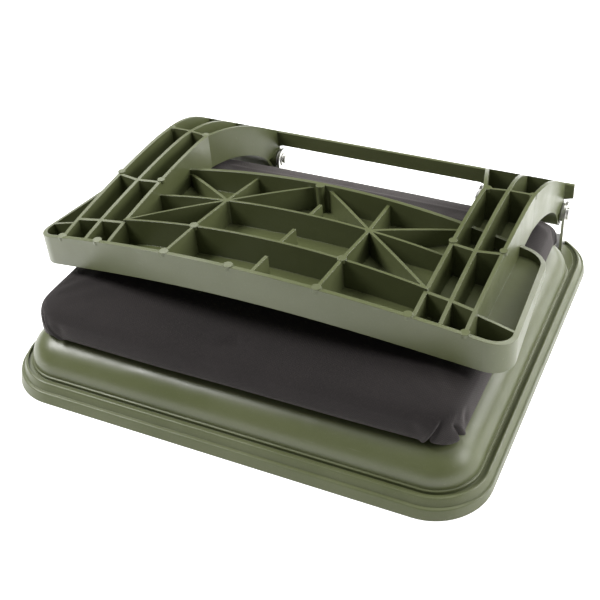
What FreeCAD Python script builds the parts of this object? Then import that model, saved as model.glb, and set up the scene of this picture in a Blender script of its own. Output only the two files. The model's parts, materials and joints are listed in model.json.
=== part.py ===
import FreeCAD, Part

import math
import os

# Low padded garden kneeler seat with a fold-down back frame, in millimetres.
# Frame: origin at the bottom centre of the base, +X to the sitter's right, +Y to the hinge side, +Z up.
# The back frame is drawn folded down over the cushion.

# Base shell
BASE_W = 430.0
BASE_D = 375.0
BASE_CORNER_R = 48.0
WALL = 3.0
# Each rim step: bottom, top, then the insets of its foot and of its head from the sides and from the ends
RIM_STEPS = (
    (0.0, 8.0, (0.0, 0.0), (0.5, 3.7)),
    (8.0, 14.5, (2.0, 6.3), (4.8, 9.6)),
)
RIM_EDGE_R = 1.1
LEDGE_Z = RIM_STEPS[-1][1]
LEDGE_WALL = 4.5
GROOVE_OUTER = (6.6, 11.4)   # insets of the ledge's groove from the sides and the ends
GROOVE_INNER = (10.6, 15.4)
GROOVE_DEPTH = 2.0
BEAD_W = 1.6                 # raised bead round the foot of the plateau
BEAD_H = 1.2
PLATEAU_INSET = (11.8, 16.6)
PLATEAU_TOP = 42.0
PLATEAU_REAR_Y = 150.0
SHOULDER_R = 27.0
RIB_T = 2.5
RIB_PITCH = 44.0
RIB_FOOT_Z = 4.0

# Cushion
CUSHION_HALF_W = 191.0
CUSHION_FRONT_Y = -160.0
CUSHION_REAR_Y = 148.0
CUSHION_WAIST_Z = 57.0
CUSHION_LEAN = 8.0           # how far the front comes in from the waist to the foot
CUSHION_TOP = 83.0
REAR_SLOPE = ((100.0, 83.0), (148.0, 49.5))   # y and z where the slope behind the seat starts and ends
CUSHION_CORNER_R = 28.0
CUSHION_EDGE_R = 25.0
INNER_CORNER_R = 4.0
COVER_T = 1.2
BOARD_T = 6.0
BOARD_GAP = 0.3
BOARD_INSET = 14.0
FLANGE_W = 34.0
STAPLE_INSET = 24.0
SCREW_XY = [(sx * 110.0, y) for sx in (-1, 1) for y in (-77.0, 55.0)]
SCREW_R = 2.0
BOSS_R = 7.0
BOSS_FOOT_Z = 32.0
STAPLE_W = 10.0
STAPLE_WIRE = (1.2, 0.6)

# Hinge
HINGE_Y = 165.5
HINGE_Z = 50.0
PIN_R = 4.0
PIN_HEAD_R = 6.5
BARREL_R = 10.0
BARREL_X = (109.5, 184.5)
RUNNING_CLEARANCE = 0.06
EAR_T = 2.5
EAR_W = 22.0
WASHER_T = 2.0
INNER_EAR_X = 107.0
OUTER_EAR_X = 187.0
BOLT_X = (125.0, 168.5)
BOLT_R = 2.5
BOLT_HEAD_R = 4.5
BOLT_HEAD_H = 3.4

# Back frame, folded down: its ribs point up and its padded side lies over the cushion
PANEL_FRONT_HALF_W = 212.0
PANEL_REAR_HALF_W = 203.0
PANEL_FRONT_Y = -122.0
PANEL_REAR_Y = 40.0
PANEL_BOW_R = 1070.0
PANEL_FRONT_R = 24.0
PANEL_REAR_R = 19.0
PANEL_TOP_Z = 119.8          # rib tops on the centre line at the rear edge
PANEL_TILT = 0.132           # rise of the rib tops towards the front edge
PANEL_CROWN_R = 700.0
INNER_TOP_Z = 115.0          # the same for the ribs inside the panel's rim, which drop away faster
INNER_TILT = 0.175
SKIN_REAR_Z = (89.5, 84.0)   # underside of the skin at the rear edge: centre, side
SKIN_FRONT_Z = (111.0, 80.0)
SKIN_SIDE_X = 205.0
SKIN_T = 3.0
RIM_T = 4.2
PANEL_RIB_T = 2.8
LONG_X = 66.0
ARC_ROWS = (-15.0, -70.0)
CENTRE_PAD_X = -7.0
PAD_DEPTH = 2.5
PAD_RISE = 0.9
ARM_INNER_X = 135.5
ARM_MID_X = 157.0
ARM_OUTER_X = 177.0
ARM_KNEE_Y = 75.0
ARM_WALL_T = 3.2
ARM_REAR_RIB_Y = 155.0
REAR_WALL_Y = 168.0
REAR_WALL_T = 3.0
REAR_TOP_Z = 80.0
BAR_BOTTOM_Z = 65.0
LOW_Z = 55.0
HIGH_Z = 170.0


def vec(x, y, z):
    return FreeCAD.Vector(x, y, z)


def box(x0, x1, y0, y1, z0, z1):
    return Part.makeBox(x1 - x0, y1 - y0, z1 - z0, vec(x0, y0, z0))


def cylinder(r, x, y, z0, z1):
    return Part.makeCylinder(r, z1 - z0, vec(x, y, z0))


def cylinder_x(r, x0, x1, y, z):
    return Part.makeCylinder(r, x1 - x0, vec(x0, y, z), vec(1, 0, 0))


def prism_from(points, direction):
    wire = Part.makePolygon([*points, points[0]])
    return Part.Face(wire).extrude(direction)


def mirrored(shape):
    return shape.mirror(vec(0, 0, 0), vec(1, 0, 0))


def fuse_all(shapes):
    return shapes[0].multiFuse(shapes[1:])


def vertical_edges(shape, test):
    found = []
    for edge in shape.Edges:
        a, b = edge.firstVertex().Point, edge.lastVertex().Point
        if abs(a.x - b.x) < 1e-6 and abs(a.y - b.y) < 1e-6 and test(a):
            found.append(edge)
    return found


def edges_at_height(shape, z):
    return [e for e in shape.Edges if all(abs(v.Point.z - z) < 1e-6 for v in e.Vertexes)]


def rounded_slab(half_w, y0, y1, z0, z1, corner_r):
    slab = box(-half_w, half_w, y0, y1, z0, z1)
    return slab.makeFillet(corner_r, vertical_edges(slab, lambda p: True))


def outline(half_w, y0, y1, z, corner_r):
    """Rounded rectangle at one height, as a closed wire."""
    slab = rounded_slab(half_w, y0, y1, z, z + 1.0, corner_r)
    foot = [f for f in slab.Faces if f.BoundBox.ZMax < z + 0.5]
    return foot[0].OuterWire


def base_outline(side, end, z):
    return outline(BASE_W / 2 - side, end - BASE_D / 2, BASE_D / 2 - end, z, BASE_CORNER_R - side)


def rim_block(z0, z1, foot, head, grow=0.0):
    """One tapered step of the rim, or the hollow inside it when it is grown inwards."""
    lower = base_outline(foot[0] + grow, foot[1] + grow, z0)
    upper = base_outline(head[0] + grow, head[1] + grow, z1)
    return Part.makeLoft([lower, upper], True, True)


def ledge_block(insets, z0, z1):
    return rim_block(z0, z1, insets, insets)


def plateau_slab(inset, z0, top, edge_r):
    side, end = PLATEAU_INSET
    slab = rounded_slab(
        BASE_W / 2 - side - inset,
        end + inset - BASE_D / 2,
        PLATEAU_REAR_Y - inset,
        z0,
        top,
        BASE_CORNER_R - side - inset,
    )
    return slab.makeFillet(edge_r, edges_at_height(slab, top))


def base_shell():
    solid = []
    hollow = []
    for z0, z1, foot, head in RIM_STEPS:
        block = rim_block(z0, z1, foot, head)
        solid.append(block.makeFillet(RIM_EDGE_R, edges_at_height(block, z1)))
        roof = LEDGE_WALL if z1 == LEDGE_Z else WALL
        hollow.append(rim_block(z0 - WALL, z1 - roof, foot, head, WALL))
    groove_z = LEDGE_Z - GROOVE_DEPTH
    groove = ledge_block(GROOVE_OUTER, groove_z, LEDGE_Z + 1.0).cut(
        ledge_block(GROOVE_INNER, groove_z - 1.0, LEDGE_Z + 2.0)
    )
    solid.append(plateau_slab(0.0, LEDGE_Z - WALL, PLATEAU_TOP, SHOULDER_R))
    hollow.append(plateau_slab(WALL, LEDGE_Z - 2 * WALL, PLATEAU_TOP - WALL, SHOULDER_R - WALL))
    bead = plateau_slab(-BEAD_W, groove_z, LEDGE_Z + BEAD_H, RIM_EDGE_R)
    ribs = [
        box(x - RIB_T / 2, x + RIB_T / 2, -BASE_D, BASE_D, RIB_FOOT_Z, HIGH_Z)
        for x in [RIB_PITCH * i for i in range(-4, 5)]
    ]
    rib_rows = [-143.0 + RIB_PITCH * i for i in range(7)] + [PLATEAU_REAR_Y - WALL / 2]
    ribs += [box(-BASE_W, BASE_W, y - RIB_T / 2, y + RIB_T / 2, RIB_FOOT_Z, HIGH_Z) for y in rib_rows]
    bosses = [cylinder(BOSS_R, x, y, BOSS_FOOT_Z, HIGH_Z) for x, y in SCREW_XY]
    cells = fuse_all(hollow).cut(fuse_all(ribs + bosses))
    holes = [cylinder(SCREW_R + 0.3, x, y, 0.0, HIGH_Z) for x, y in SCREW_XY]
    holes += [
        cylinder(BOLT_R + 0.1, side * x, HINGE_Y, 0.0, LEDGE_Z + 1) for side in (-1, 1) for x in BOLT_X
    ]
    return fuse_all(solid).cut(groove).fuse(bead).cut(cells).cut(fuse_all(holes))


def cushion_slab(inset, z0, z1):
    return rounded_slab(
        CUSHION_HALF_W - inset,
        CUSHION_FRONT_Y + inset,
        CUSHION_REAR_Y - inset,
        z0,
        z1,
        max(CUSHION_CORNER_R - inset, INNER_CORNER_R),
    )


def cushion_outline(inset, z):
    """The cushion's outline below its waist, where the front leans in towards the foot."""
    lean = CUSHION_LEAN * (CUSHION_WAIST_Z - z) / (CUSHION_WAIST_Z - PLATEAU_TOP)
    front_y = CUSHION_FRONT_Y + lean + inset
    return outline(CUSHION_HALF_W - inset, front_y, CUSHION_REAR_Y - inset, z, CUSHION_CORNER_R - inset)


def above_rear_slope(inset):
    """Block above the slope, under the arms of the back frame, that the cushion is trimmed with."""
    (y0, z0), (y1, z1) = REAR_SLOPE
    length = math.hypot(y1 - y0, z1 - z0)
    along = vec(0, y1 - y0, z1 - z0) * (1 / length)
    away = vec(0, z0 - z1, y1 - y0) * (1 / length)
    start = vec(-BASE_W, y0, z0) - away * inset - along * length
    end = start + along * 3 * length
    face = [start, end, end + away * length, start + away * length]
    return prism_from(face, vec(2 * BASE_W, 0, 0))


def cushion_form(inset, z0, top):
    lower = [cushion_outline(inset, z0), cushion_outline(inset, CUSHION_WAIST_Z)]
    slab = cushion_slab(inset, CUSHION_WAIST_Z, top)
    slab = slab.makeFillet(CUSHION_EDGE_R - inset, edges_at_height(slab, top))
    return Part.makeLoft(lower, True, True).fuse(slab).cut(above_rear_slope(inset))


def staples():
    """Wire staples that hold the turned-under cover to the board, spaced evenly along its four sides."""
    wire_w, wire_t = STAPLE_WIRE
    half_x = CUSHION_HALF_W - STAPLE_INSET
    front_y = CUSHION_FRONT_Y + STAPLE_INSET
    rear_y = CUSHION_REAR_Y - STAPLE_INSET
    out = []
    for x in (-126.0, -84.0, -42.0, 0.0, 42.0, 84.0, 126.0):
        for y in (front_y, rear_y):
            out.append((x, y, STAPLE_W / 2, wire_w / 2))
    for y in (-108.0, -64.0, -19.0, 26.0, 70.0):
        for x in (-half_x, half_x):
            out.append((x, y, wire_w / 2, STAPLE_W / 2))
    solids = []
    for x, y, dx, dy in out:
        crown = box(x - dx, x + dx, y - dy, y + dy, PLATEAU_TOP, PLATEAU_TOP + wire_t)
        tip = PLATEAU_TOP + COVER_T + BOARD_T - 1.0
        legs = []
        for side in (-1, 1):
            cx = x + side * max(dx - wire_t, 0.0) * (dx > dy)
            cy = y + side * max(dy - wire_t, 0.0) * (dy > dx)
            half_x_leg = wire_t if dx > dy else wire_w / 2
            half_y_leg = wire_t if dy > dx else wire_w / 2
            legs.append(
                box(cx - half_x_leg, cx + half_x_leg, cy - half_y_leg, cy + half_y_leg, PLATEAU_TOP, tip)
            )
        solids.append(fuse_all([crown, *legs]).removeSplitter())
    return Part.makeCompound(solids)


def cushion_parts():
    staple_set = staples()
    board_z = PLATEAU_TOP + COVER_T
    outer = cushion_form(0.0, PLATEAU_TOP, CUSHION_TOP)
    inner = cushion_form(COVER_T, board_z, CUSHION_TOP - COVER_T)
    mouth = cushion_slab(FLANGE_W, PLATEAU_TOP - 1, board_z + 1)
    cover = outer.cut(inner).cut(mouth).cut(staple_set)
    hole_top = board_z + BOARD_T - 0.5
    pilot_holes = fuse_all([cylinder(SCREW_R + 0.05, x, y, 0.0, hole_top) for x, y in SCREW_XY])
    board = cushion_slab(BOARD_INSET, board_z, board_z + BOARD_T)
    board = board.cut(pilot_holes).cut(staple_set)
    recess = cushion_slab(BOARD_INSET - BOARD_GAP, board_z - 1.0, board_z + BOARD_T)
    foam = cushion_form(COVER_T + BOARD_GAP, board_z, CUSHION_TOP - COVER_T - BOARD_GAP).cut(recess)
    return cover, board, foam, staple_set


def cushion_screws():
    screws = []
    for x, y in SCREW_XY:
        head = Part.makeCone(SCREW_R + 1.0, SCREW_R + 2.5, 2.6, vec(x, y, BOSS_FOOT_Z - 2.6))
        shank = cylinder(SCREW_R, x, y, BOSS_FOOT_Z - 1.0, PLATEAU_TOP + COVER_T + BOARD_T - 1.0)
        screws.append(head.fuse(shank).removeSplitter())
    return Part.makeCompound(screws)


def hinge_bracket():
    """U-shaped sheet bracket: a plate on the ledge with an ear at each end."""
    y0 = HINGE_Y - EAR_W / 2
    y1 = HINGE_Y + EAR_W / 2
    x0 = INNER_EAR_X - EAR_T
    x1 = OUTER_EAR_X + EAR_T
    plate = box(x0, x1, y0, y1, LEDGE_Z, LEDGE_Z + EAR_T)
    shapes = [plate]
    for x in (x0, OUTER_EAR_X):
        shapes.append(box(x, x + EAR_T, y0, y1, LEDGE_Z, HINGE_Z))
        shapes.append(cylinder_x(EAR_W / 2, x, x + EAR_T, HINGE_Y, HINGE_Z))
    body = fuse_all(shapes).removeSplitter()
    cutters = [cylinder_x(PIN_R + 0.04, x0 - 1, x1 + 1, HINGE_Y, HINGE_Z)]
    cutters += [cylinder(BOLT_R + 0.1, x, HINGE_Y, LEDGE_Z - 1, LEDGE_Z + EAR_T + 1) for x in BOLT_X]
    return body.cut(fuse_all(cutters))


def hinge_pin():
    inner_end = INNER_EAR_X - EAR_T - 3.0
    head_x = OUTER_EAR_X + EAR_T
    shank = cylinder_x(PIN_R, inner_end, head_x + 1.0, HINGE_Y, HINGE_Z)
    head = cylinder_x(PIN_HEAD_R, head_x, head_x + 2.4, HINGE_Y, HINGE_Z)
    rim = [e for e in head.Edges if e.BoundBox.XMin > head_x + 2.3 and e.BoundBox.YLength > 1]
    pin = shank.fuse(head.makeFillet(1.1, rim))
    groove_x = INNER_EAR_X - EAR_T - 1.0
    ring = cylinder_x(PIN_R + 1, groove_x, groove_x + 1.0, HINGE_Y, HINGE_Z)
    groove = ring.cut(cylinder_x(PIN_R - 0.8, groove_x - 1, groove_x + 2.0, HINGE_Y, HINGE_Z))
    return pin.cut(groove).removeSplitter()


def hinge_clip():
    """Snap ring in the pin's groove, open at the bottom."""
    x0 = INNER_EAR_X - EAR_T - 1.0
    ring = cylinder_x(PIN_R + 3.0, x0, x0 + 1.0, HINGE_Y, HINGE_Z)
    ring = ring.cut(cylinder_x(PIN_R - 0.8, x0 - 1, x0 + 2.0, HINGE_Y, HINGE_Z))
    return ring.cut(box(x0 - 1, x0 + 2, HINGE_Y - 2.0, HINGE_Y + 2.0, HINGE_Z - 9, HINGE_Z))


def hinge_washers():
    washers = []
    for x in (INNER_EAR_X, OUTER_EAR_X - WASHER_T):
        disc = cylinder_x(PIN_R + 4.5, x, x + WASHER_T, HINGE_Y, HINGE_Z)
        washers.append(disc.cut(cylinder_x(PIN_R + 0.04, x - 1, x + WASHER_T + 1, HINGE_Y, HINGE_Z)))
    return Part.makeCompound(washers)


def hexagon(r, x, y, z0, z1):
    points = [
        vec(x + r * math.cos(math.radians(60 * i)), y + r * math.sin(math.radians(60 * i)), z0)
        for i in range(6)
    ]
    return prism_from(points, vec(0, 0, z1 - z0))


def bracket_bolts():
    seat = LEDGE_Z + EAR_T
    bolts = []
    for x in BOLT_X:
        head = hexagon(BOLT_HEAD_R, x, HINGE_Y, seat, seat + BOLT_HEAD_H)
        shank = cylinder(BOLT_R, x, HINGE_Y, LEDGE_Z - LEDGE_WALL - 6, seat + 1)
        bolts.append(head.fuse(shank).removeSplitter())
    return Part.makeCompound(bolts)


def bracket_nuts():
    top = LEDGE_Z - LEDGE_WALL
    nuts = []
    for x in BOLT_X:
        nut = hexagon(BOLT_HEAD_R, x, HINGE_Y, top - 4.0, top)
        nuts.append(nut.cut(cylinder(BOLT_R + 0.04, x, HINGE_Y, top - 5, top + 1)))
    return Part.makeCompound(nuts)


def panel_prism(inset):
    """Plan outline of the back panel, bowed at the front edge, as a tall prism."""
    front_x = PANEL_FRONT_HALF_W - inset
    rear_x = PANEL_REAR_HALF_W - inset
    bow_r = PANEL_BOW_R - inset
    bow_centre_y = PANEL_FRONT_Y + PANEL_BOW_R
    side_y = bow_centre_y - math.sqrt(bow_r**2 - front_x**2)
    rear_y = PANEL_REAR_Y - inset
    corners = [
        vec(front_x, side_y, LOW_Z),
        vec(rear_x, rear_y, LOW_Z),
        vec(-rear_x, rear_y, LOW_Z),
        vec(-front_x, side_y, LOW_Z),
    ]
    front = Part.Arc(corners[3], vec(0, PANEL_FRONT_Y + inset, LOW_Z), corners[0]).toShape()
    rest = Part.makePolygon(corners)
    prism = Part.Face(Part.Wire([front, *rest.Edges])).extrude(vec(0, 0, HIGH_Z - LOW_Z))
    prism = prism.makeFillet(PANEL_FRONT_R - inset, vertical_edges(prism, lambda p: p.y < 0))
    return prism.makeFillet(PANEL_REAR_R - inset, vertical_edges(prism, lambda p: abs(p.y - rear_y) < 1e-6))


def crown_layer(low, high):
    """Solid between two crowned surfaces.

    low and high each give the centre height and the height at x = SKIN_SIDE_X for a y.
    """
    reach = PANEL_FRONT_HALF_W + 6.0
    grow = (reach / SKIN_SIDE_X) ** 2
    wires = []
    for y in (PANEL_FRONT_Y - 10.0, PANEL_REAR_Y + 10.0):
        edges = []
        ends = []
        for centre, side in (low(y), high(y)):
            end_z = centre - (centre - side) * grow
            left_end = vec(-reach, y, end_z)
            right_end = vec(reach, y, end_z)
            if centre == side:
                edges.append(Part.makeLine(left_end, right_end))
            else:
                edges.append(Part.Arc(left_end, vec(0, y, centre), right_end).toShape())
            ends.append(end_z)
        right = Part.makeLine(vec(reach, y, ends[0]), vec(reach, y, ends[1]))
        left = Part.makeLine(vec(-reach, y, ends[1]), vec(-reach, y, ends[0]))
        wires.append(Part.Wire(Part.__sortEdges__([edges[0], right, edges[1], left])))
    return Part.makeLoft(wires, True, True)


def skin_under(y):
    t = (PANEL_REAR_Y - y) / (PANEL_REAR_Y - PANEL_FRONT_Y)
    return tuple(a + (b - a) * t for a, b in zip(SKIN_REAR_Z, SKIN_FRONT_Z))


def skin_over(y):
    return tuple(z + SKIN_T for z in skin_under(y))


def rib_tops(y):
    centre = PANEL_TOP_Z + PANEL_TILT * (PANEL_REAR_Y - y)
    return centre, centre - SKIN_SIDE_X**2 / (2 * PANEL_CROWN_R)


def inner_rib_tops(y):
    centre = INNER_TOP_Z + INNER_TILT * (PANEL_REAR_Y - y)
    return centre, centre - SKIN_SIDE_X**2 / (2 * PANEL_CROWN_R)


def all_above(y):
    return HIGH_Z, HIGH_Z


def all_below(y):
    return LOW_Z, LOW_Z


def strip(a, b, thickness):
    """Tall wall of one thickness between two points in plan, run on by a third of it at each end."""
    dx, dy = b[0] - a[0], b[1] - a[1]
    length = math.hypot(dx, dy)
    ux, uy = dx / length, dy / length
    nx, ny = -uy * thickness / 2, ux * thickness / 2
    ax, ay = a[0] - ux * thickness / 3, a[1] - uy * thickness / 3
    bx, by = b[0] + ux * thickness / 3, b[1] + uy * thickness / 3
    points = [
        vec(ax + nx, ay + ny, LOW_Z),
        vec(ax - nx, ay - ny, LOW_Z),
        vec(bx - nx, by - ny, LOW_Z),
        vec(bx + nx, by + ny, LOW_Z),
    ]
    return prism_from(points, vec(0, 0, HIGH_Z - LOW_Z))


def bow_y(x):
    """Middle of the front rim's wall at x."""
    r = PANEL_BOW_R - RIM_T / 2
    return PANEL_FRONT_Y + PANEL_BOW_R - math.sqrt(r**2 - x**2)


def panel_ribs():
    arc1, arc2 = ARC_ROWS
    rear = PANEL_REAR_Y - RIM_T / 2
    hub = (LONG_X, arc1)
    second = (LONG_X, arc2)
    spokes = [
        (hub, (LONG_X - 3.0, rear)),
        (hub, (7.0, rear)),
        (hub, (ARM_INNER_X - 1.0, rear)),
        (hub, (ARM_INNER_X - 1.0, arc2)),
        (hub, second),
        (second, (LONG_X, bow_y(LONG_X))),
    ]
    pocket_y = -77.0
    pocket = ((ARM_OUTER_X, pocket_y), (PANEL_FRONT_HALF_W - 4.0, pocket_y))
    walls = []
    for a, b in [*spokes, pocket]:
        for side in (-1, 1):
            walls.append(strip((side * a[0], a[1]), (side * b[0], b[1]), PANEL_RIB_T))
    for y in ARC_ROWS:
        walls.append(strip((-ARM_INNER_X, y), (ARM_INNER_X, y), PANEL_RIB_T))
    stub_x = 13.0
    for y0, y1 in ((arc2, arc2 + 25.0), (bow_y(stub_x), bow_y(stub_x) + 25.0), (arc1, arc1 + 21.0)):
        walls.append(strip((stub_x, y0), (stub_x, y1), PANEL_RIB_T))
    for side in (-1, 1):
        walls.append(cylinder(3.4, side * LONG_X, arc1, LOW_Z, HIGH_Z))
    return walls


def pad(x, y, top, r=3.8):
    """Small raised round on a rib crossing."""
    return cylinder(r, x, y, top - PAD_DEPTH, top + PAD_RISE)


def panel_pads():
    spots = [(CENTRE_PAD_X, bow_y(0.0) + 1.0)]
    for side in (-1, 1):
        spots.append((side * LONG_X, ARC_ROWS[1]))
        spots.append((side * LONG_X, bow_y(LONG_X) + 1.0))
        spots.append((side * ARM_INNER_X, bow_y(ARM_INNER_X) + 1.2))
        spots.append((side * ARM_OUTER_X, bow_y(ARM_OUTER_X) + 1.2))
    return [pad(x, y, rib_tops(y)[0] - x**2 / (2 * PANEL_CROWN_R)) for x, y in spots]


def arm_pads():
    spots = [
        (ARM_INNER_X, -8.5, 123.8),
        (ARM_OUTER_X, -8.5, 123.8),
        (ARM_INNER_X + 2.0, 76.5, 121.4),
        (ARM_OUTER_X - 1.0, 79.5, 120.6),
    ]
    return [pad(x, y, z - 0.4, 3.4) for x, y, z in spots]


def spline(points):
    curve = Part.BSplineCurve()
    curve.interpolate([vec(0, y, z) for y, z in points])
    return curve.toShape()


ARM_TOP = [(-119.0, 112.5), (-101.0, 116.0), (-60.0, 120.5), (-11.0, 123.5), (40.0, 124.3), (73.0, 122.3),
           (109.0, 114.0), (130.0, 105.0), (150.0, 92.8), (REAR_WALL_Y + REAR_WALL_T / 2, REAR_TOP_Z)]
ARM_UNDER = [(162.0, 37.5), (156.0, 41.5), (150.0, 52.5), (140.0, 64.5), (119.0, 77.0), (94.0, 85.2),
             (76.0, 87.4), (57.0, 87.6), (36.0, 86.6)]


def side_profile(under):
    """Side shape of an arm between its top curve and the points under it, 110 mm wide."""
    last = ARM_TOP[-1]
    top = spline(ARM_TOP)
    corner = [vec(0, *last), vec(0, last[0], ARM_UNDER[0][1]), vec(0, *ARM_UNDER[0])]
    edges = [top, *Part.makePolygon(corner).Edges, *under]
    start = under[-1].Vertexes[-1].Point
    edges += Part.makePolygon([start, vec(0, ARM_TOP[0][0], start.z), vec(0, *ARM_TOP[0])]).Edges
    face = Part.Face(Part.Wire(Part.__sortEdges__(edges)))
    solid = face.extrude(vec(110.0, 0, 0))
    solid.translate(vec(95.0, 0, 0))
    return solid


def arm_floor():
    """Thin floor of the arm behind the panel, following the arm's underside."""
    under = spline(ARM_UNDER)
    raised = spline([(y + 0.4 * SKIN_T * (z < 84), z + SKIN_T * 0.95) for y, z in ARM_UNDER])
    ends = [
        Part.makeLine(under.Vertexes[0].Point, raised.Vertexes[0].Point),
        Part.makeLine(under.Vertexes[-1].Point, raised.Vertexes[-1].Point),
    ]
    face = Part.Face(Part.Wire(Part.__sortEdges__([under, raised, *ends])))
    solid = face.extrude(vec(110.0, 0, 0))
    solid.translate(vec(95.0, 0, 0))
    return solid


def arm():
    """One ribbed arm on the +X side, from the front rim to the hinge barrel."""
    rear_end = REAR_WALL_Y
    half_t = ARM_WALL_T / 2
    walls_in_plan = [
        [(ARM_INNER_X, bow_y(ARM_INNER_X)), (ARM_INNER_X, ARM_KNEE_Y), (BARREL_X[0] + half_t, rear_end)],
        [(ARM_MID_X, bow_y(ARM_MID_X)), (ARM_MID_X - 2.0, ARM_KNEE_Y + 4.0), (150.0, rear_end)],
        [(ARM_OUTER_X, bow_y(ARM_OUTER_X)), (ARM_OUTER_X, ARM_KNEE_Y), (BARREL_X[1] - half_t, rear_end)],
    ]
    walls = []
    for line in walls_in_plan:
        for a, b in zip(line, line[1:]):
            walls.append(strip(a, b, ARM_WALL_T))
    cross = [(-72.0, -75.5, -80.0), (-12.0, -15.0, -12.0), (75.0, 79.0, 79.0)]
    for inner_y, mid_y, outer_y in cross:
        walls.append(strip((ARM_INNER_X, inner_y), (ARM_MID_X, mid_y), PANEL_RIB_T))
        walls.append(strip((ARM_MID_X, mid_y), (ARM_OUTER_X, outer_y), PANEL_RIB_T))
    rear_rib = (BARREL_X[0] + 5.0, ARM_REAR_RIB_Y), (BARREL_X[1] - 2.5, ARM_REAR_RIB_Y)
    walls.append(strip(*rear_rib, PANEL_RIB_T))
    plan = fuse_all(walls)
    plan = plan.cut(box(0, 300, REAR_WALL_Y + REAR_WALL_T / 2, 300, 0, 300))
    skin_end = 38.0
    front_zone = box(95.0, 205.0, -200.0, skin_end, 0, 300)
    above = crown_layer(skin_under, all_above)
    straight = [vec(0, *ARM_UNDER[0]), vec(0, ARM_UNDER[0][0], LOW_Z), vec(0, skin_end, LOW_Z)]
    over_panel = plan.common(front_zone).common(above)
    over_panel = over_panel.common(side_profile(Part.makePolygon(straight).Edges))
    behind = plan.cut(front_zone).common(side_profile([spline(ARM_UNDER)]))
    floor_plan = [
        (ARM_INNER_X - half_t, skin_end - 3.0),
        (ARM_INNER_X - half_t, ARM_KNEE_Y),
        (BARREL_X[0], REAR_WALL_Y),
        (BARREL_X[1], REAR_WALL_Y),
        (ARM_OUTER_X + half_t, ARM_KNEE_Y),
        (ARM_OUTER_X + half_t, skin_end - 3.0),
    ]
    floor = prism_from([vec(x, y, 0) for x, y in floor_plan], vec(0, 0, HIGH_Z)).common(arm_floor())
    barrel = cylinder_x(BARREL_R, *BARREL_X, HINGE_Y, HINGE_Z)
    inner, outer = BARREL_X
    foot = [
        (104.0, REAR_TOP_Z),
        (193.0, REAR_TOP_Z),
        (193.0, 66.0),
        (outer, 63.5),
        (outer, HINGE_Z),
        (178.0, 37.5),
        (118.0, 37.5),
        (inner, HINGE_Z),
        (inner, 63.5),
        (104.0, BAR_BOTTOM_Z),
    ]
    front_face = REAR_WALL_Y - REAR_WALL_T / 2
    web = prism_from([vec(x, front_face, z) for x, z in foot], vec(0, REAR_WALL_T, 0))
    return [over_panel, behind, floor, barrel, web, *arm_pads()]


def back_frame():
    panel = panel_prism(0.0)
    rim = panel.cut(panel_prism(RIM_T))
    inner_ribs = fuse_all(panel_ribs()).common(crown_layer(all_below, inner_rib_tops))
    boss = cylinder(4.0, 0.0, PANEL_REAR_Y - RIM_T - 1.5, LOW_Z, HIGH_Z)
    ribs = fuse_all([rim, boss, inner_ribs]).common(panel)
    ribs = ribs.common(crown_layer(skin_under, rib_tops))
    skin = panel.common(crown_layer(skin_under, skin_over))
    right = arm()
    bar_y = REAR_WALL_Y - REAR_WALL_T / 2
    bar = box(-106.0, 106.0, bar_y, bar_y + REAR_WALL_T, BAR_BOTTOM_Z, REAR_TOP_Z)
    left = [mirrored(shape) for shape in right]
    frame = fuse_all([skin, ribs, bar, *panel_pads(), *right, *left])
    bore_r = PIN_R + RUNNING_CLEARANCE
    bores = cylinder_x(bore_r, -200.0, 200.0, HINGE_Y, HINGE_Z)
    return frame.cut(bores)


def single(shape):
    """The one solid of a boolean result."""
    solids = shape.Solids
    if len(solids) != 1:
        raise ValueError("expected one solid, found %d" % len(solids))
    return solids[0]


def main():
    os.makedirs("parts", exist_ok=True)
    cover, board, foam, staple_set = cushion_parts()
    nodes = {
        "base_shell": single(base_shell()),
        "cushion_cover": single(cover),
        "cushion_board": single(board),
        "cushion_foam": single(foam),
        "cover_staples": staple_set,
        "cushion_screws": cushion_screws(),
        "back_frame": single(back_frame()),
    }
    paired = {
        "hinge_bracket": hinge_bracket(),
        "hinge_pin": hinge_pin(),
        "hinge_clip": hinge_clip(),
        "hinge_washers": hinge_washers(),
        "bracket_bolts": bracket_bolts(),
        "bracket_nuts": bracket_nuts(),
    }
    for name, shape in paired.items():
        nodes[name + "_right"] = shape
        nodes[name + "_left"] = mirrored(shape)
    for name, shape in nodes.items():
        shape.exportStep("parts/%s.step" % name)


main()
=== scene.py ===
import json
import math

import bmesh
import bpy
import numpy as np
from mathutils import Matrix, Vector, noise


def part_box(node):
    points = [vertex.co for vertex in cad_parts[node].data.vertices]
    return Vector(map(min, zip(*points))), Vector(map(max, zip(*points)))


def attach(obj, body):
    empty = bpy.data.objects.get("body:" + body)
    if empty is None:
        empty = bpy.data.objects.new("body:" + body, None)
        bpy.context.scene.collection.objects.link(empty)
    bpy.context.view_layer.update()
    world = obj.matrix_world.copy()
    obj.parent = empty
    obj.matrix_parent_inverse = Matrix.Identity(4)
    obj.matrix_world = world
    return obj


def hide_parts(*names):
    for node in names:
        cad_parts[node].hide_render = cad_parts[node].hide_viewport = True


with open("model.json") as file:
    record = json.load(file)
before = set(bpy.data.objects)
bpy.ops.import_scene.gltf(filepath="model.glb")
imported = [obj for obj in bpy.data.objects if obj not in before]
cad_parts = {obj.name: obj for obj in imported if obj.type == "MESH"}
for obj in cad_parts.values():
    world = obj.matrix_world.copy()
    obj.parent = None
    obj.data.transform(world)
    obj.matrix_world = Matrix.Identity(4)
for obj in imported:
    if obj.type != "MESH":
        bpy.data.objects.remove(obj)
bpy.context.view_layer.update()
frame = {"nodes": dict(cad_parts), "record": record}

scene = bpy.context.scene

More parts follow.
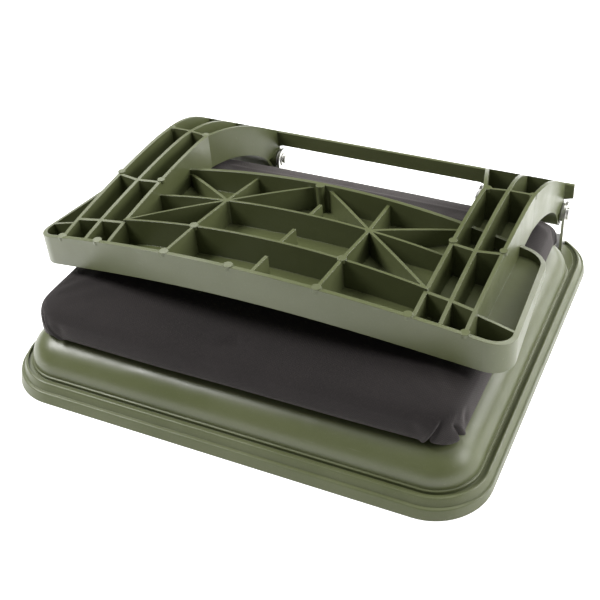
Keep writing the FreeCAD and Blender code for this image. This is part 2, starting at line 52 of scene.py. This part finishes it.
# Camera: seen from the front right, well above the seat
CAMERA_AT = Vector((0.3495, -0.6748, 0.6313))
CAMERA_AZIMUTH = math.radians(28.12)
CAMERA_ELEVATION = math.radians(38.86)
CAMERA_ROLL = math.radians(-4.86)
CAMERA_LENS = 64.49

# Studio: each lamp's name, place, aim, size and power
SEAT_MIDDLE = (0.0, 0.0, 0.06)
LAMPS = (
    ("overhead", (0.25, 0.35, 1.5), SEAT_MIDDLE, (0.9, 0.8), 11.0),
    ("right_side", (1.3, 0.2, 0.65), SEAT_MIDDLE, (0.8, 0.7), 14.0),
    ("rear_right", (0.75, 1.15, 0.5), (0.1, 0.0, 0.03), (1.0, 0.6), 14.0),
    ("rear_left", (-1.0, 0.95, 1.05), (-0.1, -0.05, 0.06), (0.7, 0.6), 6.0),
    ("upper_left", (-0.93, -0.28, 1.15), (-0.1, -0.15, 0.03), (0.6, 0.7), 26.0),
)
WORLD_STRENGTH = 0.18
FLOOR_SIZE = 60.0
FLOOR_DROP = 0.0005
FLOOR_GLOW = 0.55

# Cushion, worked out from the CAD cover's box
SEAT_LOW, SEAT_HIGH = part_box("cushion_cover")
SEAT_CORNER_R = 0.028
SEAT_FOOT_R = 0.015
SEAT_MIN_R = 0.012
SEAT_LEAN = 0.008
SEAT_WAIST = 0.015
CORNER_STEPS = 8
# Depth (y) and height (z) where the cushion's top starts to fall behind the seat, and where it ends
SLOPE_FROM = Vector((0.101, 0.083))
SLOPE_TO = Vector((0.148, 0.0505))
VOXEL = 0.0034
SIM_FRAMES = 20
SIM_PRESSURE = 3.0
STIFFNESS = {"tension": 80.0, "compression": 80.0, "shear": 40.0, "bending": 10.0}
HELD_HEIGHT = 0.003
PUFF_CAP = 0.0028
START_INSET = 0.0010
REFINE_REACH = 0.038
REFINE_BACK = 0.012
# Cushion's side: height above its underside, inset from the CAD outline
SIDE_PROFILE = (
    (0.0004, 0.0060), (0.0008, 0.0022), (0.0018, 0.0008), (0.0040, 0.0006), (0.0110, 0.0010),
    (0.0180, 0.0014), (0.0250, 0.0022), (0.0300, 0.0044), (0.0334, 0.0084), (0.0354, 0.0138),
    (0.0366, 0.0210), (0.0373, 0.0320), (0.0377, 0.0500), (0.0378, 0.0900),
)

# Each tuck: angles from the corner's diagonal (degrees) at foot and tip, their heights, depth, width
TUCKS = (
    (-36.0, -14.0, 0.001, 0.021, 0.0044, 0.0015),
    (38.0, 12.0, 0.001, 0.026, 0.0050, 0.0016),
)
# Each pucker: angle from the corner's diagonal (degrees), height, depth, half width, half height
PUCKERS = (
    (-52.0, 0.016, 0.0016, 0.0045, 0.007),
    (-22.0, 0.019, 0.0010, 0.0040, 0.006),
    (58.0, 0.018, 0.0010, 0.0050, 0.007),
)
# Fabric pushed up beside each tuck: share of its depth, and distance and width in tuck widths
LIP = 0.42
LIP_AWAY = 2.2
LIP_WIDTH = 1.5
# How far past a corner's centre the tucks reach, and the radius inside which nothing moves
TUCK_BACK = 0.020
TUCK_CORE = 0.012
# Each swell of the fabric: how many a metre, height, where the noise starts
SWELLS = ((9.0, 0.0007, Vector((0.0, 0.0, 0.0))), (30.0, 0.0002, Vector((7.0, 3.0, 1.0))))


# ---------------------------------------------------------------- camera, floor and light

def add_camera():
    data = bpy.data.cameras.new("camera")
    data.lens = CAMERA_LENS
    data.sensor_width = 36.0
    camera = bpy.data.objects.new("camera", data)
    scene.collection.objects.link(camera)
    a, e, roll = CAMERA_AZIMUTH, CAMERA_ELEVATION, CAMERA_ROLL
    back = Vector((math.sin(a) * math.cos(e), -math.cos(a) * math.cos(e), math.sin(e)))
    level = Vector((math.cos(a), math.sin(a), 0.0))
    upright = back.cross(level)
    right = level * math.cos(roll) + upright * math.sin(roll)
    up = upright * math.cos(roll) - level * math.sin(roll)
    turn = Matrix((right, up, back)).transposed().to_4x4()
    camera.matrix_world = Matrix.Translation(CAMERA_AT) @ turn
    scene.camera = camera


def add_area_light(name, at, aim, size, power):
    data = bpy.data.lights.new(name, "AREA")
    data.shape = "RECTANGLE"
    data.size, data.size_y = size
    data.energy = power
    lamp = bpy.data.objects.new(name, data)
    scene.collection.objects.link(lamp)
    lamp.location = at
    lamp.rotation_euler = (Vector(aim) - Vector(at)).to_track_quat("-Z", "Y").to_euler()


def add_studio():
    world = bpy.data.worlds.new("studio")
    scene.world = world
    world.use_nodes = True
    background = world.node_tree.nodes["Background"]
    background.inputs["Color"].default_value = (1.0, 1.0, 1.0, 1.0)
    background.inputs["Strength"].default_value = WORLD_STRENGTH
    scene.view_settings.view_transform = "Standard"
    for lamp in LAMPS:
        add_area_light(*lamp)
    bpy.ops.mesh.primitive_plane_add(size=FLOOR_SIZE, location=(0.0, 0.0, -FLOOR_DROP))
    floor = bpy.context.object
    floor.name = "floor"
    material, _, shader = new_material("floor_paper")
    shader.inputs["Base Color"].default_value = (0.93, 0.93, 0.93, 1.0)
    shader.inputs["Roughness"].default_value = 0.9
    shader.inputs["Emission Color"].default_value = (1.0, 1.0, 1.0, 1.0)
    shader.inputs["Emission Strength"].default_value = FLOOR_GLOW
    floor.data.materials.append(material)


# ---------------------------------------------------------------- materials

class Tree:
    """Short calls for building a node tree."""

    def __init__(self, tree):
        self.tree = tree

    def add(self, kind, **settings):
        node = self.tree.nodes.new("ShaderNode" + kind)
        for key, value in settings.items():
            if key in node.inputs:
                node.inputs[key].default_value = value
            else:
                setattr(node, key, value)
        return node

    def link(self, out, socket):
        self.tree.links.new(out, socket)

    def noise(self, vector, scale, detail=2.0, roughness=0.5):
        node = self.add("TexNoise")
        node.inputs["Scale"].default_value = scale
        node.inputs["Detail"].default_value = detail
        node.inputs["Roughness"].default_value = roughness
        self.link(vector, node.inputs["Vector"])
        return node.outputs["Fac"]

    def spread(self, value, low, high, to_low, to_high):
        node = self.add("MapRange")
        limits = {"From Min": low, "From Max": high, "To Min": to_low, "To Max": to_high}
        for name, number in limits.items():
            node.inputs[name].default_value = number
        self.link(value, node.inputs["Value"])
        return node.outputs["Result"]

    def math(self, operation, a, b=None):
        node = self.add("Math", operation=operation)
        for socket, value in zip(node.inputs, (a, b)):
            if value is None:
                continue
            if isinstance(value, (int, float)):
                socket.default_value = value
            else:
                self.link(value, socket)
        return node.outputs[0]

    def mix(self, factor, a, b, blend="MIX"):
        node = self.add("Mix", data_type="RGBA", blend_type=blend)
        for socket, value in ((node.inputs[0], factor), (node.inputs[6], a), (node.inputs[7], b)):
            if isinstance(value, (int, float)):
                socket.default_value = value
            elif isinstance(value, tuple):
                socket.default_value = (*value, 1.0)
            else:
                self.link(value, socket)
        return node.outputs[2]

    def stretched(self, vector, scale):
        node = self.add("Mapping")
        node.inputs["Scale"].default_value = scale
        self.link(vector, node.inputs["Vector"])
        return node.outputs["Vector"]

    def bump(self, height, strength, distance, below=None):
        node = self.add("Bump")
        node.inputs["Strength"].default_value = strength
        node.inputs["Distance"].default_value = distance
        self.link(height, node.inputs["Height"])
        if below is not None:
            self.link(below, node.inputs["Normal"])
        return node.outputs["Normal"]


def new_material(name):
    material = bpy.data.materials.new(name)
    material.use_nodes = True
    tree = Tree(material.node_tree)
    return material, tree, material.node_tree.nodes["Principled BSDF"]


def moulded_plastic():
    """Olive moulded plastic: faint flow marks, fine grain and a few hair scratches."""
    material, t, shader = new_material("olive_moulded_plastic")
    place = t.add("TexCoord").outputs["Object"]
    clouds = t.noise(place, 11.0, 4.0, 0.6)
    flow = t.noise(t.stretched(place, (3.0, 26.0, 9.0)), 1.0, 3.0)
    speckle = t.noise(place, 700.0, 2.0)
    base = t.mix(t.spread(clouds, 0.35, 0.65, 0.0, 1.0), (0.074, 0.085, 0.033), (0.089, 0.100, 0.043))
    base = t.mix(t.spread(flow, 0.45, 0.75, 0.0, 0.35), base, (0.108, 0.118, 0.058))
    base = t.mix(t.spread(speckle, 0.55, 0.8, 0.0, 0.25), base, (0.130, 0.140, 0.082))
    scratch = t.noise(t.stretched(place, (22.0, 420.0, 300.0)), 1.0, 2.0)
    scratch_mask = t.spread(scratch, 0.70, 0.74, 0.0, 1.0)
    base = t.mix(t.math("MULTIPLY", scratch_mask, 0.18), base, (0.175, 0.185, 0.125))
    t.link(base, shader.inputs["Base Color"])
    rough = t.spread(t.noise(place, 38.0, 4.0), 0.3, 0.7, 0.28, 0.40)
    t.link(rough, shader.inputs["Roughness"])
    shader.inputs["Specular IOR Level"].default_value = 0.5
    eased = t.add("Bevel", samples=4, Radius=0.0007).outputs["Normal"]
    wavy = t.bump(t.noise(place, 16.0, 2.0), 0.22, 0.004, eased)
    grain = t.bump(t.noise(place, 1500.0, 2.0), 0.10, 0.0003, wavy)
    t.link(grain, shader.inputs["Normal"])
    return material


def weave_height(t, u, v, pitch):
    """Plain weave: warp and weft take turns on top."""
    k = math.pi / pitch
    warp = t.math("SINE", t.math("MULTIPLY", u, k))
    weft = t.math("SINE", t.math("MULTIPLY", v, k))
    over = t.math("MULTIPLY", warp, weft)
    threads = t.math("MAXIMUM", t.math("ABSOLUTE", warp), t.math("ABSOLUTE", weft))
    return t.math("ADD", t.math("MULTIPLY", over, 0.35), t.math("MULTIPLY", threads, 0.65))


def woven_fabric():
    """Dark brown woven polyester, matt with a soft sheen, with painted shade darkening the low places
    between the threads.
    """
    material, t, shader = new_material("brown_woven_fabric")
    place = t.add("TexCoord").outputs["Object"]
    axes = t.add("SeparateXYZ")
    t.link(place, axes.inputs[0])
    facing = t.add("SeparateXYZ")
    t.link(t.add("NewGeometry").outputs["True Normal"], facing.inputs[0])
    x, y, z = axes.outputs
    pitch = 0.0011
    top = weave_height(t, x, y, pitch)
    front = weave_height(t, x, z, pitch)
    side = weave_height(t, y, z, pitch)
    is_top = t.math("GREATER_THAN", t.math("ABSOLUTE", facing.outputs[2]), 0.7)
    is_side = t.math("GREATER_THAN", t.math("ABSOLUTE", facing.outputs[0]), 0.7)
    height = t.mix(is_side, front, side)
    height = t.mix(is_top, height, top)
    clouds = t.noise(place, 14.0, 4.0, 0.6)
    fibre = t.noise(place, 900.0, 3.0)
    cloudy = t.spread(clouds, 0.3, 0.7, 0.0, 1.0)
    base = t.mix(cloudy, (0.0085, 0.0068, 0.0067), (0.0150, 0.0119, 0.0117))
    base = t.mix(t.spread(fibre, 0.4, 0.8, 0.0, 0.6), base, (0.024, 0.019, 0.0185))
    # Painted shade: the low places of the weave, between the threads, are mixed toward near black.
    base = t.mix(t.spread(height, 0.2, 1.0, 0.45, 0.0), base, (0.005, 0.004, 0.004))
    t.link(base, shader.inputs["Base Color"])
    shader.inputs["Roughness"].default_value = 0.88
    shader.inputs["Specular IOR Level"].default_value = 0.25
    shader.inputs["Sheen Weight"].default_value = 0.16
    shader.inputs["Sheen Roughness"].default_value = 0.5
    shader.inputs["Sheen Tint"].default_value = (0.75, 0.68, 0.66, 1.0)
    soft = t.bump(t.noise(place, 60.0, 3.0), 0.10, 0.002)
    t.link(t.bump(height, 0.35, 0.0004, soft), shader.inputs["Normal"])
    return material


def plated_steel():
    """Zinc-plated sheet steel: cool grey with cloudy passivation and fine brushing."""
    material, t, shader = new_material("zinc_plated_steel")
    place = t.add("TexCoord").outputs["Object"]
    clouds = t.noise(place, 120.0, 4.0)
    base = t.mix(t.spread(clouds, 0.35, 0.7, 0.0, 1.0), (0.60, 0.60, 0.58), (0.74, 0.73, 0.69))
    t.link(base, shader.inputs["Base Color"])
    shader.inputs["Metallic"].default_value = 1.0
    t.link(t.spread(clouds, 0.3, 0.7, 0.26, 0.42), shader.inputs["Roughness"])
    brushed = t.noise(t.stretched(place, (60.0, 2600.0, 260.0)), 1.0, 2.0)
    t.link(t.bump(brushed, 0.12, 0.0002), shader.inputs["Normal"])
    return material


def plain_material(name, dark, light, scale, roughness):
    """A mottled material for the washers and the pieces inside the cushion."""
    material, t, shader = new_material(name)
    place = t.add("TexCoord").outputs["Object"]
    cloud = t.noise(place, scale, 4.0)
    t.link(t.mix(t.spread(cloud, 0.3, 0.7, 0.0, 1.0), dark, light), shader.inputs["Base Color"])
    shader.inputs["Roughness"].default_value = roughness
    t.link(t.bump(cloud, 0.2, 0.0005), shader.inputs["Normal"])
    return material


def paint_nodes():
    by_slot = {
        "olive_plastic": moulded_plastic(),
        "zinc_steel": plated_steel(),
        "nylon": plain_material("natural_nylon", (0.60, 0.60, 0.56), (0.74, 0.73, 0.68), 90.0, 0.45),
        "board": plain_material("raw_board", (0.26, 0.18, 0.10), (0.42, 0.32, 0.20), 40.0, 0.8),
        "foam": plain_material("open_foam", (0.62, 0.58, 0.46), (0.78, 0.74, 0.62), 400.0, 0.95),
        "cushion_fabric": woven_fabric(),
    }
    for entry in frame["record"]["subparts"]:
        node = frame["nodes"][entry["node"]]
        node.data.materials.clear()
        node.data.materials.append(by_slot[entry["material_slot"]])
    return by_slot


# ---------------------------------------------------------------- cushion

def outline(inset, rise):
    """Rounded rectangle round the cushion at a height, tighter and leaning in at its foot."""
    tuck = max(0.0, 1.0 - rise / SEAT_WAIST)
    r = max(SEAT_CORNER_R - inset - tuck * (SEAT_CORNER_R - SEAT_FOOT_R), SEAT_MIN_R)
    lean = SEAT_LEAN * tuck
    x, y0, y1 = SEAT_HIGH.x - inset, SEAT_LOW.y + inset + lean, SEAT_HIGH.y - inset
    centres = ((x - r, y1 - r), (r - x, y1 - r), (r - x, y0 + r), (x - r, y0 + r))
    points = []
    for quarter, (cx, cy) in enumerate(centres):
        for i in range(CORNER_STEPS + 1):
            angle = math.radians(90 * quarter + i * 90 / CORNER_STEPS)
            points.append((cx + r * math.cos(angle), cy + r * math.sin(angle)))
    return points


def cushion_blank():
    """Closed starting form, a little smaller than the finished cushion."""
    mesh = bmesh.new()
    loops = []
    for rise, inset in SIDE_PROFILE:
        z = SEAT_LOW.z + rise
        loops.append([mesh.verts.new((px, py, z)) for px, py in outline(inset + START_INSET, rise)])
    mesh.faces.new(reversed(loops[0]))
    mesh.faces.new(loops[-1])
    count = len(loops[0])
    for lower, upper in zip(loops, loops[1:]):
        for i in range(count):
            j = (i + 1) % count
            mesh.faces.new((lower[i], lower[j], upper[j], upper[i]))
    data = bpy.data.meshes.new("cushion")
    mesh.to_mesh(data)
    mesh.free()
    cushion = bpy.data.objects.new("cushion", data)
    scene.collection.objects.link(cushion)
    return cushion


def apply_modifiers(piece):
    graph = bpy.context.evaluated_depsgraph_get()
    final = bpy.data.meshes.new_from_object(piece.evaluated_get(graph))
    piece.modifiers.clear()
    piece.data = final


def vertex_array(piece):
    flat = np.empty(len(piece.data.vertices) * 3)
    piece.data.vertices.foreach_get("co", flat)
    return flat.reshape(-1, 3)


def set_vertices(piece, array):
    piece.data.vertices.foreach_set("co", array.ravel())
    piece.data.update()


def remesh(piece, voxel):
    step = piece.modifiers.new("remesh", "REMESH")
    step.mode = "VOXEL"
    step.voxel_size = voxel
    apply_modifiers(piece)


def puff_up(piece):
    """Inflates the pad with its underside held; no point ends farther than the cap from its start."""
    before = vertex_array(piece)
    held = piece.vertex_groups.new(name="held")
    limit = SEAT_LOW.z + HELD_HEIGHT
    held.add([i for i, co in enumerate(before) if co[2] < limit], 1.0, "REPLACE")
    cloth = piece.modifiers.new("cloth", "CLOTH")
    settings = cloth.settings
    settings.use_pressure = True
    settings.uniform_pressure_force = SIM_PRESSURE
    settings.vertex_group_mass = "held"
    for kind, value in STIFFNESS.items():
        setattr(settings, kind + "_stiffness", value)
    settings.effector_weights.gravity = 0.0
    cloth.point_cache.frame_start = 1
    cloth.point_cache.frame_end = SIM_FRAMES
    for number in range(1, SIM_FRAMES + 1):
        scene.frame_set(number)
    apply_modifiers(piece)
    scene.frame_set(1)
    moved = vertex_array(piece) - before
    length = np.linalg.norm(moved, axis=1, keepdims=True)
    share = np.minimum(1.0, PUFF_CAP / np.maximum(length, 1e-9))
    set_vertices(piece, before + moved * share)


def slope_rear(piece):
    """Lowers the pad's top behind the seat, where it runs down under the arms of the back frame."""
    points = vertex_array(piece)
    fall = (SLOPE_TO.y - SLOPE_FROM.y) / (SLOPE_TO.x - SLOPE_FROM.x)
    full = SEAT_HIGH.z - SEAT_LOW.z
    for point in points:
        behind = point[1] - SLOPE_FROM.x
        if behind > 0:
            point[2] = SEAT_LOW.z + (point[2] - SEAT_LOW.z) * (full + fall * behind) / full
    set_vertices(piece, points)


def subdivide(piece):
    step = piece.modifiers.new("smooth", "SUBSURF")
    step.levels = 1
    step.render_levels = 1
    apply_modifiers(piece)


def seat_corners():
    """Each corner's centre seen from above, and which way it points."""
    r = SEAT_CORNER_R
    for sx in (-1, 1):
        for sy, edge in ((-1, SEAT_LOW.y + r), (1, SEAT_HIGH.y - r)):
            yield Vector((sx * (SEAT_HIGH.x - r), edge)), sx, sy


def refine_corners(piece):
    """Finer mesh where the corner tucks go."""
    mesh = bmesh.new()
    mesh.from_mesh(piece.data)
    centres = list(seat_corners())

    def near(vertex):
        if not SEAT_LOW.z + 0.001 < vertex.co.z < SEAT_HIGH.z - 0.003:
            return False
        for c, sx, sy in centres:
            out = Vector((vertex.co.x, vertex.co.y)) - c
            ahead = min(out.x * sx, out.y * sy)
            if ahead > -REFINE_BACK and out.length < REFINE_REACH:
                return True
        return False

    edges = [e for e in mesh.edges if near(e.verts[0]) and near(e.verts[1])]
    bmesh.ops.subdivide_edges(mesh, edges=edges, cuts=1, use_grid_fill=True, smooth=0.0)
    bmesh.ops.triangulate(mesh, faces=[f for f in mesh.faces if len(f.verts) > 4])
    mesh.to_mesh(piece.data)
    mesh.free()


def tuck_corners(piece):
    """Folds where the cover is gathered at each corner: two darts that lean together, and soft dents."""
    points = vertex_array(piece)
    for c, sx, sy in seat_corners():
        out = (points[:, :2] - np.array(c)) * np.array((sx, sy))
        radius = np.maximum(np.linalg.norm(out, axis=1), 1e-6)
        near = (out.min(axis=1) > -TUCK_BACK) & (radius > TUCK_CORE)
        angle = np.degrees(np.arctan2(out[:, 1], out[:, 0])) - 45.0
        rise = points[:, 2] - SEAT_LOW.z
        push = np.zeros(len(points))
        for foot_angle, tip_angle, foot, tip, depth, width in TUCKS:
            t = np.clip((rise - foot) / (tip - foot), -0.3, 1.3)
            middle = foot_angle + (tip_angle - foot_angle) * t
            away = np.radians(angle - middle) * radius
            fade = np.clip(1.15 - t, 0.0, 1.0) ** 0.8 * (rise < tip + 0.004)
            push -= depth * fade * np.exp(-(away / width) ** 2)
            lip = np.sign(foot_angle) * LIP_AWAY * width
            push += LIP * depth * fade * np.exp(-((away - lip) / (LIP_WIDTH * width)) ** 2)
        for at, high, depth, wide, tall in PUCKERS:
            away = np.radians(angle - at) * radius
            push -= depth * np.exp(-(away / wide) ** 2 - ((rise - high) / tall) ** 2)
        push *= near
        unit = out / radius[:, None] * np.array((sx, sy))
        points[:, :2] += unit * push[:, None]
    set_vertices(piece, points)


def ripple(piece):
    """Slow unevenness of hand-pulled fabric over foam."""
    points = vertex_array(piece)
    centre = Vector((0.0, (SEAT_LOW.y + SEAT_HIGH.y) / 2, SEAT_LOW.z))
    for i, co in enumerate(points):
        spot = Vector(co)
        if spot.z > SEAT_LOW.z + 0.002:
            swell = sum(noise.noise(spot * pitch + start) * height for pitch, height, start in SWELLS)
            points[i] = spot + (spot - centre).normalized() * swell
    set_vertices(piece, points)


def add_cushion(fabric):
    cushion = cushion_blank()
    remesh(cushion, VOXEL)
    slope_rear(cushion)
    remesh(cushion, VOXEL)
    puff_up(cushion)
    subdivide(cushion)
    refine_corners(cushion)
    ripple(cushion)
    tuck_corners(cushion)
    cushion.data.polygons.foreach_set("use_smooth", [True] * len(cushion.data.polygons))
    cushion.data.materials.append(fabric)
    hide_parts("cushion_cover", "cushion_foam")
    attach(cushion, "base")


# ---------------------------------------------------------------- scene

add_camera()
add_studio()
materials = paint_nodes()
add_cushion(materials["cushion_fabric"])
